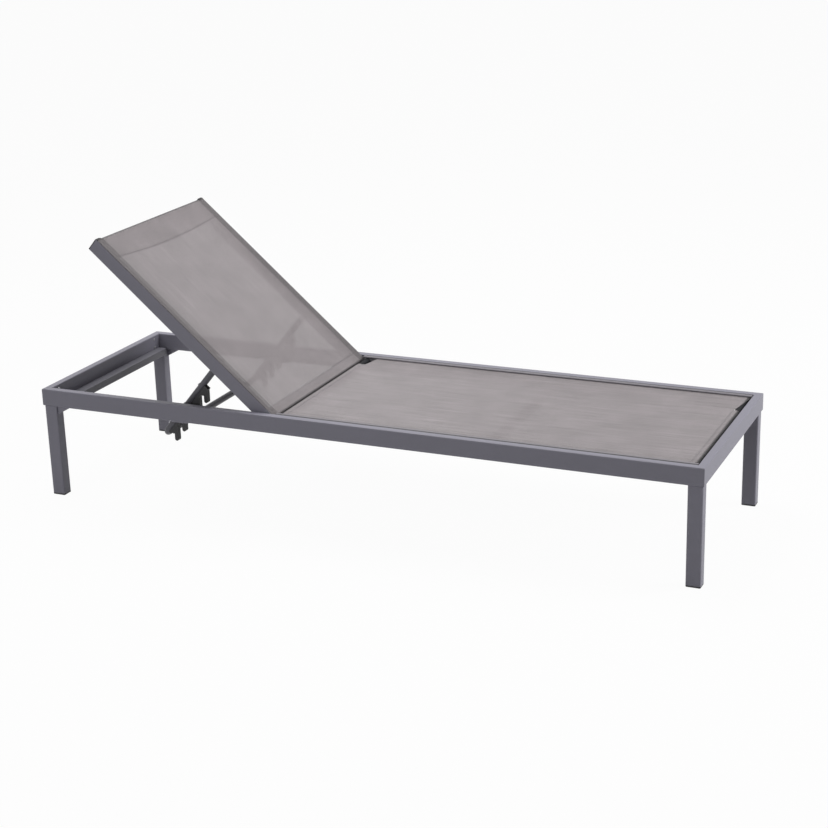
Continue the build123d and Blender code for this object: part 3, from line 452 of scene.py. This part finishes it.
# ---- slings ---------------------------------------------------------------------------
class Sling:
    """Stretched cloth with a sleeve round the bar at each of its ends.

    Its run goes from the middle of the first bar to the middle of the last one, and up is the
    side that faces a person. Beside its sleeves lie flaps, whose edges are held by the two rails.
    Where a value has two entries, the first is for the first bar or for the left side.

    Each kind of sling sets, in metres from the run's middle line or along it:
    half        to the edges of the cloth
    hems        from a bar to the seam of its sleeve
    bows        how much further the middle of that seam lies
    sag         dip in the middle of the cloth
    ends        for each side, where the sleeves end, across
    overhang    for each side and bar, how far a flap goes past the bar at its inner and outer edge
    """

    def __init__(self, name, bars, rail, cloth):
        self.name = name
        self.cloth = cloth
        self.holders = [*bars, f"{rail}_left", f"{rail}_right"]
        start, end = (np.array(middle(bar)) for bar in bars)
        low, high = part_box(bars[0])
        self.radius = (high.x - low.x) / 2 + cloth.thickness + BAR_GAP
        self.length = float(np.linalg.norm(end - start))
        self.run = (end - start) / self.length
        self.up = np.array((-self.run[2], 0.0, self.run[0]))
        self.up *= np.sign(self.up[2])
        self.turned_over = np.cross(self.run, (0.0, 1.0, 0.0)) @ self.up > 0
        self.origin = start + self.up * self.radius
        self.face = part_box(f"{rail}_left")[0].y
        self.band = self.face - self.band_width

    def sleeve(self, hem):
        """Rows of a sleeve as (along, up, bow), from its seam round the bar to the bar's top.

        The bar is a circle under the cloth. The tangent from the seam touches it at the angle of
        the seam, seen from the circle's middle, less the arc cosine of radius over distance. The
        bow value is the share of the seam's bow that a row takes.
        """
        seam = np.array((hem, -SEAM_DEPTH * self.cloth.thickness))
        centre = np.array((0.0, -self.radius))
        reach = seam - centre
        touch = np.arctan2(reach[1], reach[0]) - np.arccos(self.radius / np.linalg.norm(reach))
        wrap = np.linspace(touch, -pi, WRAP_ROWS)[:-1]
        turn = np.concatenate([wrap, np.linspace(-pi, -1.5 * pi, ARC_ROWS)])
        arc = centre + self.radius * np.stack([np.cos(turn), np.sin(turn)], axis=1)
        share = np.linspace(0, 1, LINE_ROWS)[:-1]
        line = seam + (arc[0] - seam) * share[:, None]
        return np.column_stack([np.concatenate([line, arc]), np.concatenate([1 - share, 0 * turn])])

    def rows(self):
        """Count of the first sleeve's rows, and all rows of the cloth as (along, up, bow).

        They go from one sleeve's seam round its bar, over the run, and round the other bar to
        its seam. On the run they are closer together near the seams.
        """
        first, last = self.sleeve(self.hems[0]), self.sleeve(self.hems[1])[::-1]
        first = first * (1, 1, self.bows[0])
        last = last * (-1, 1, -self.bows[1]) + (self.length, 0, 0)
        close = [np.arange(CLOSE_STEP, hem + bow + CLOSE_REACH, CLOSE_STEP)
                 for hem, bow in zip(self.hems, self.bows)]
        between = np.linspace(close[0][-1], self.length - close[1][-1], FLAT_ROWS)[1:-1]
        flat = np.concatenate([close[0], between, self.length - close[1][::-1]])
        return len(first), np.concatenate([first, np.column_stack([flat, 0 * flat, 0 * flat]), last])

    def seam(self, end, across):
        """Where a seam lies along the run: bowed across by a parabola."""
        along = self.hems[end] + self.bows[end] * (1 - (across / self.face) ** 2)
        return along if end == 0 else self.length - along

    def dip(self, along, across):
        """Sag of the cloth, with a groove at each seam.

        The sag is a parabola across times the square root of a half sine along; a groove is a
        bell curve of the distance from its seam, and fades out beside the rails.
        """
        across = np.clip(across, -self.face, self.face)
        wave = np.sqrt(np.clip(np.sin(pi * np.clip(along / self.length, 0, 1)), 0, 1))
        hollow = self.sag * wave * (1 - (across / self.face) ** 2)
        fade = np.clip((self.face - np.abs(across)) / GROOVE_FADE, 0, 1)
        for end in (0, 1):
            off = (along - self.seam(end, across)) / self.cloth.groove_width
            hollow = hollow + self.cloth.groove * np.exp(-off ** 2) * fade
        return -hollow

    def place(self, along, across, height):
        """Points from distances along the run, across it, and up from the cloth."""
        across = across + 0.0 * along
        return (self.origin + along[..., None] * self.run + height[..., None] * self.up
                + across[..., None] * np.array((0.0, 1.0, 0.0)))

    def flap(self, side, along, beyond):
        """Columns of one flap as (along, across, height), numbered outwards from the sleeve's end.

        Each column goes to its share of the straight line from the inner overhang to the outer
        one. On a bar's rows a column goes past the bar by its overhang times the row's beyond
        value, and an overhang below zero ends it before the bar.
        """
        ends = self.ends[side]
        overhang = np.array(self.overhang[side])
        share, width, drop = self.edge()
        start = ends[0] + (ends[1] - ends[0]) * np.clip(along / self.length, 0, 1)[:, None]
        across = start + (self.half - start) * share + width
        limit = overhang[:, :1] + (overhang[:, 1:] - overhang[:, :1]) * share
        short, past = np.maximum(0, -limit), np.maximum(0, limit)
        along = np.clip(along[:, None], short[0], self.length - short[1])
        along = along - beyond[0][:, None] * past[0] + beyond[1][:, None] * past[1]
        return along, across, drop + self.dip(along, across)

    def build(self, material):
        """Cloth as a grid of rows by columns: the sleeves' columns, and the flaps' outside them.

        The flaps have only the rows over the run and over the outer quarter of each bar. The UV
        map holds, in metres, the place across and the way along the cloth from the first bar's top.
        """
        count, rows = self.rows()
        first_row, stop_row = count - ARC_ROWS, len(rows) - count + ARC_ROWS
        base = np.clip(rows[:, 0], 0, self.length)
        quarter = np.linspace(1, 0, ARC_ROWS)
        beyond = np.zeros((2, len(rows)))
        beyond[0, first_row:count] = quarter
        beyond[1, len(rows) - count:stop_row] = quarter[::-1]
        left, right = (self.flap(side, base, beyond) for side in (0, 1))

        share = np.linspace(0, 1, SLEEVE_COLUMNS)
        mixed = (base / self.length)[:, None]
        left_end, right_end = ((1 - mixed) * first + mixed * last for first, last in self.ends)
        across = -right_end + (left_end + right_end) * share
        along = rows[:, :1] + rows[:, 2:3] * (1 - (across / self.face) ** 2)
        height = rows[:, 1:2] + self.dip(along, across)
        path = np.concatenate([[0.0], np.cumsum(np.linalg.norm(np.diff(rows[:, :2], axis=0), axis=1))])
        path = path - path[count - 1]

        woven = side_by_side(right[0], path[:, None] + 0 * across, left[0])
        along = side_by_side(right[0], along, left[0])
        height = side_by_side(right[2], height, left[2])
        across = side_by_side(-right[1], across, left[1])
        points = self.place(along, across, height).reshape(-1, 3)

        columns, beside = across.shape[1], left[0].shape[1]
        faces = grid_faces(len(rows), columns)
        row, column = faces[:, 0] // columns, faces[:, 0] % columns
        in_sleeve = (column >= beside) & (column < columns - beside - 1)
        in_flap = (column < beside - 1) | (column >= columns - beside)
        flap_rows = (row >= first_row) & (row < stop_row - 1)
        faces = faces[in_sleeve | in_flap & flap_rows]
        if self.turned_over:
            faces = faces[:, ::-1]
        points, faces, roll = weld(points, faces, np.column_stack([across.ravel(), woven.ravel()]))
        piece = new_mesh(f"{self.name}_cloth", points, faces, material)
        set_uv(piece, "cloth", roll)
        solid = piece.modifiers.new("thickness", "SOLIDIFY")
        solid.thickness = self.cloth.thickness
        solid.offset = -1.0
        return piece

    def stitches(self, label, end, material):
        """Two rows of stitches across the sling, one on each side of one of its seams.

        Each stitch is a spindle: rings whose radius follows an ellipse a little longer than the
        stitch, closed by two quads at each blunt tip.
        """
        cloth = self.cloth
        centres = np.arange(ROW_END - self.ends[1][end], self.ends[0][end] - ROW_END, cloth.stitch_pitch)
        centres = np.concatenate([centres, centres + cloth.stitch_pitch / 2])[:, None, None]
        row = np.repeat((-ROW_OFFSET, ROW_OFFSET), len(centres) // 2)[:, None, None]
        lengths = np.linspace(-1, 1, STITCH_RINGS)[:, None]
        angles = np.arange(RING_POINTS) / RING_POINTS * 2 * pi
        radius = THREAD_RADIUS * np.sqrt(BLUNTNESS - lengths ** 2)
        across = centres + lengths * cloth.stitch / 2 + 0 * angles
        run = self.seam(end, across) + row + radius * np.cos(angles)
        height = self.dip(run, across) + radius * np.sin(angles) * THREAD_FLATNESS + THREAD_LIFT
        points = self.place(run, across, height).reshape(-1, 3)

        first = np.arange(STITCH_RINGS - 1)[:, None] * RING_POINTS + np.arange(RING_POINTS)
        after = np.roll(first, -1, axis=1)
        quads = np.stack([first, after, after + RING_POINTS, first + RING_POINTS], axis=-1).reshape(-1, 4)
        tip = np.array(((0, 1, 2, 3), (0, 3, 4, 5)))
        quads = np.concatenate([quads, tip[:, ::-1], tip + (STITCH_RINGS - 1) * RING_POINTS])
        if self.turned_over:
            quads = quads[:, ::-1]
        stitch = np.arange(len(centres))[:, None, None] * STITCH_RINGS * RING_POINTS
        return new_mesh(f"{self.name}_stitches_{label}", points, (stitch + quads).reshape(-1, 4), material)

    def make(self, body, cad_node):
        """Cloth and the stitches of both hems, riding on one body."""
        cloth = self.build(finish(f"{self.name}_mesh"))
        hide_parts(cad_node)
        first = self.stitches("first", 0, finish("thread"))
        last = self.stitches("last", 1, finish("thread"))
        for piece in (cloth, first, last):
            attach(piece, body)


class SeatSling(Sling):
    """Sling whose edges run straight into the channels of its rails.

    Its sleeves end further from the left rail, where the flaps' ends are cut on a slant.
    """
    streaks = 0.5           # strength of the lengthwise streaks
    openness = 0.5          # how clear the pinholes are
    band_width = 0.034      # of the band beside a rail
    edge_tone = 0.93        # tone of the bands
    shade_fade_tone = 1.0         # painted shade next to the bands, none on the seat
    turned_shade_tone = 0.08      # painted shade on the cloth turned down round the bars
    hinge_cut = (-0.020, -0.032)    # overhang of the left flap at the hinge bar
    foot_cut = (-0.008, 0.003)      # at the foot bar, the outer one past the bar's outermost side

    def __init__(self, cloth):
        super().__init__("seat", ("seat_hinge_bar", "seat_foot_bar"), "seat_rail", cloth)
        self.half = self.face + cloth.edge
        self.hems = (cloth.seat_hem, cloth.seat_hem)
        self.bows = (0.0, 0.0)
        self.sag = cloth.seat_sag
        near = self.face - cloth.seat_notch
        self.ends = ((self.face - cloth.hinge_notch, self.face - cloth.foot_notch), (near, near))
        slanted = (self.hinge_cut, (self.foot_cut[0], self.radius + self.foot_cut[1]))
        self.overhang = (slanted, ((0.0, 0.0), (0.0, 0.0)))

    def edge(self):
        """Columns of a flap as (share of its width, extra width, drop)."""
        share = np.linspace(0, 1, CHANNEL_COLUMNS)
        return share, 0 * share, 0 * share


class BackSling(Sling):
    """Sling that lies over its rails and turns down at their outer edges."""
    streaks = 0.2           # as in SeatSling
    openness = 0.7
    # Painted shade: the band over the rails, the fade next to it, and the cloth turned down round the bars
    band_width = 0.008
    edge_tone = 0.62
    shade_fade_tone = 0.86
    turned_shade_tone = 0.3
    rail_edge = 0.001       # from the cloth's edge to the outer face of its rail
    shortness = 0.002       # from the end of a flap to the bar's outermost side

    def __init__(self, cloth):
        super().__init__("back", ("back_bottom_bar", "back_top_bar"), "back_rail", cloth)
        self.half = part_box("back_rail_left")[1].y - self.rail_edge
        self.hems = (cloth.back_hem, cloth.top_hem)
        self.bows = (0.0, cloth.top_bow)
        self.sag = cloth.back_sag
        end = self.face - cloth.back_notch
        self.ends = ((end, end), (end, end))
        past = self.radius - self.shortness
        self.overhang = (((past, past), (past, past)),) * 2

    def edge(self):
        """Columns over the rail, then a quarter turn downwards with the cloth's thickness as radius."""
        turn = self.cloth.thickness
        flat = np.linspace(0, 1, RAIL_COLUMNS)
        quarter = np.linspace(0, pi / 2, RAIL_COLUMNS)[1:]
        share = np.concatenate([flat, np.ones_like(quarter)])
        width = np.concatenate([np.linspace(0, -turn, RAIL_COLUMNS), turn * (np.sin(quarter) - 1)])
        drop = np.concatenate([0 * flat, turn * (np.cos(quarter) - 1)])
        return share, width, drop


# ---- operators ------------------------------------------------------------------------
class LOUNGER_OT_coat(bpy.types.Operator):
    """Coats the tubes and the brackets of the catches"""
    bl_idname = "lounger.coat"
    bl_label = "Coat the frame"

    def execute(self, context):
        settings = context.scene.lounger_finish
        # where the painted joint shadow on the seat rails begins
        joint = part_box("seat_rail_left")[1].y - RAIL_JOINT_SHADOW
        powder_coat("powder_coat", settings.coat, gloss=0.45)
        # Painted shadow: near black sleeve bars
        powder_coat("bar_coat", settings.bar_coat, gloss=0.05)
        # Painted shade: darker prop and rest bar
        powder_coat("prop_coat", settings.prop_coat, gloss=0.45)
        # Painted shade: darker seat rails, with their painted joint shadow
        powder_coat("rail_coat", settings.rail_coat, gloss=0.3, joint=joint)
        paint("powder_coat")
        paint("powder_coat", "bar_coat", SLEEVE_BARS)
        paint("powder_coat", "prop_coat", SHADED_TUBES)
        paint("powder_coat", "rail_coat", SEAT_RAILS)
        return {"FINISHED"}


class LOUNGER_OT_plastics(bpy.types.Operator):
    """Gives the feet, caps, bushes, spacers, hinge ends, racks and splines their moulded plastic"""
    bl_idname = "lounger.plastics"
    bl_label = "Finish the plastics"

    def execute(self, context):
        settings = context.scene.lounger_finish
        moulded_plastic("black_plastic", settings.plastic)
        moulded_plastic("grey_plastic", settings.hinge_plastic)
        moulded_plastic("nylon", settings.spline)
        paint("black_plastic")
        paint("black_plastic", "grey_plastic", HINGE_ENDS)
        paint("nylon")
        return {"FINISHED"}


class LOUNGER_OT_metals(bpy.types.Operator):
    """Gives the fasteners and the corner keys bare metal"""
    bl_idname = "lounger.metals"
    bl_label = "Finish the metals"

    def execute(self, context):
        settings = context.scene.lounger_finish
        drawn_metal("steel", settings.steel, rough_low=0.28, rough_high=0.45)
        drawn_metal("aluminium", settings.aluminium, rough_low=0.3, rough_high=0.5)
        paint("steel")
        paint("aluminium")
        return {"FINISHED"}


class LOUNGER_OT_cloth(bpy.types.Operator):
    """Makes the cloth and the thread of the slings"""
    bl_idname = "lounger.cloth"
    bl_label = "Weave the cloth"

    def execute(self, context):
        settings = context.scene.lounger_finish
        cloth = context.scene.lounger_cloth
        for sling in (SeatSling(cloth), BackSling(cloth)):
            woven_mesh(settings, cloth, sling)
        sewing_thread(settings.thread)
        return {"FINISHED"}


class LOUNGER_OT_seat_sling(bpy.types.Operator):
    """Stretches the seat sling between its rails"""
    bl_idname = "lounger.seat_sling"
    bl_label = "Make the seat sling"

    def execute(self, context):
        SeatSling(context.scene.lounger_cloth).make("frame", "seat_sling")
        return {"FINISHED"}


class LOUNGER_OT_back_sling(bpy.types.Operator):
    """Stretches the backrest sling over its rails"""
    bl_idname = "lounger.back_sling"
    bl_label = "Make the backrest sling"

    def execute(self, context):
        BackSling(context.scene.lounger_cloth).make("backrest", "back_sling")
        return {"FINISHED"}


def add_lamp(name, place, size, power):
    """Round lamp that shines at the middle of the lounger."""
    lamp = bpy.data.lights.new(name, "AREA")
    lamp.shape = "DISK"
    lamp.size = size
    lamp.energy = power
    holder = bpy.data.objects.new(name, lamp)
    holder.location = place
    holder.rotation_euler = (Vector(LAMP_TARGET) - Vector(place)).to_track_quat("-Z", "Y").to_euler()
    bpy.context.scene.collection.objects.link(holder)


def seen_directly(nodes):
    """1 for camera, glossy and transmission rays, else 0."""
    path = nodes.add("LightPath").outputs
    seen = nodes.math("MAXIMUM", path["Is Camera Ray"], path["Is Glossy Ray"])
    return nodes.math("MAXIMUM", seen, path["Is Transmission Ray"])


def light_sky(strength):
    """Even light from all round, seen as white."""
    world = bpy.data.worlds.new("studio")
    world.use_nodes = True
    nodes = Nodes(world.node_tree)
    level = nodes.fit(seen_directly(nodes), (strength, 1.0))
    sky = nodes.add("Background", in_Color=(1.0, 1.0, 1.0, 1.0), in_Strength=level)
    nodes.add("OutputWorld", in_Surface=sky.outputs[0])
    bpy.context.scene.world = world


def white_floor():
    """Pale floor that looks white and keeps a faint shadow."""
    nodes = new_material("studio_floor")
    plain = nodes.add("BsdfDiffuse", in_Color=(FLOOR_COLOUR, FLOOR_COLOUR, FLOOR_COLOUR, 1.0))
    share = nodes.product(seen_directly(nodes), FLOOR_GLOW)
    seen = nodes.blend(share, plain, nodes.add("Emission"))
    nodes.add("OutputMaterial", in_Surface=seen.outputs[0])
    return finish("studio_floor")


def lay_floor():
    """Flat disc under the lounger: triangles from its middle to points evenly round a circle."""
    turn = np.linspace(0, 2 * pi, FLOOR_SIDES + 1)[:-1]
    level = np.full_like(turn, FLOOR_LEVEL)
    rim = np.stack([FLOOR_RADIUS * np.cos(turn), FLOOR_RADIUS * np.sin(turn), level], axis=1)
    points = np.concatenate([rim, [(0.0, 0.0, FLOOR_LEVEL)]])
    ring = np.arange(FLOOR_SIDES)
    faces = np.stack([ring, (ring + 1) % FLOOR_SIDES, np.full_like(ring, FLOOR_SIDES)], axis=1)
    new_mesh("studio_floor", points, faces, white_floor(), smooth=False)


def set_camera(studio):
    """Camera at its place, turned to its heading, tilted down and rolled about its own axis."""
    data = bpy.data.cameras.new("camera")
    data.lens = studio.lens
    data.sensor_width = SENSOR_WIDTH
    data.clip_end = CLIP_END
    camera = bpy.data.objects.new("camera", data)
    heading = Matrix.Rotation(studio.turn, 4, "Z") @ Matrix.Rotation(pi / 2 - studio.tilt, 4, "X")
    place = Matrix.Translation((studio.camera_x, studio.camera_y, studio.camera_z))
    camera.matrix_world = place @ heading @ Matrix.Rotation(studio.roll, 4, "Z")
    bpy.context.scene.collection.objects.link(camera)
    bpy.context.scene.camera = camera


class LOUNGER_OT_studio(bpy.types.Operator):
    """Sets up the floor, the lamps and the camera"""
    bl_idname = "lounger.studio"
    bl_label = "Set up the studio"

    def execute(self, context):
        studio = context.scene.lounger_studio
        lay_floor()
        light_sky(studio.sky)
        for name, place, size, setting in LAMPS:
            add_lamp(name, place, size, getattr(studio, setting))
        set_camera(studio)
        context.scene.view_settings.view_transform = "Standard"
        return {"FINISHED"}


class LOUNGER_PT_panel(bpy.types.Panel):
    """Buttons and settings of the lounger"""
    bl_idname = "LOUNGER_PT_panel"
    bl_label = "Sun lounger"
    bl_space_type = "VIEW_3D"
    bl_region_type = "UI"
    bl_category = "Lounger"

    def draw(self, context):
        for operator in OPERATORS:
            self.layout.operator(operator.bl_idname)
        for group in GROUPS:
            settings = getattr(context.scene, group)
            # The first two are the group's own type and name
            for name in settings.bl_rna.properties.keys()[2:]:
                self.layout.prop(settings, name)


OPERATORS = (LOUNGER_OT_coat, LOUNGER_OT_plastics, LOUNGER_OT_metals, LOUNGER_OT_cloth,
             LOUNGER_OT_seat_sling, LOUNGER_OT_back_sling, LOUNGER_OT_studio)
GROUPS = {"lounger_finish": LoungerFinish, "lounger_cloth": LoungerCloth, "lounger_studio": LoungerStudio}


def register():
    """Adds the classes, and one group of settings each to the scene."""
    for item in (*GROUPS.values(), *OPERATORS, LOUNGER_PT_panel):
        bpy.utils.register_class(item)
    for name, group in GROUPS.items():
        setattr(bpy.types.Scene, name, bpy.props.PointerProperty(type=group))


def unregister():
    """Takes the settings and the classes away again."""
    for name in GROUPS:
        delattr(bpy.types.Scene, name)
    for item in (LOUNGER_PT_panel, *reversed(OPERATORS), *GROUPS.values()):
        bpy.utils.unregister_class(item)


def main():
    """Makes everything in order."""
    register()
    for operator in OPERATORS:
        group, name = operator.bl_idname.split(".")
        getattr(getattr(bpy.ops, group), name)()


if __name__ == "__main__":
    main()
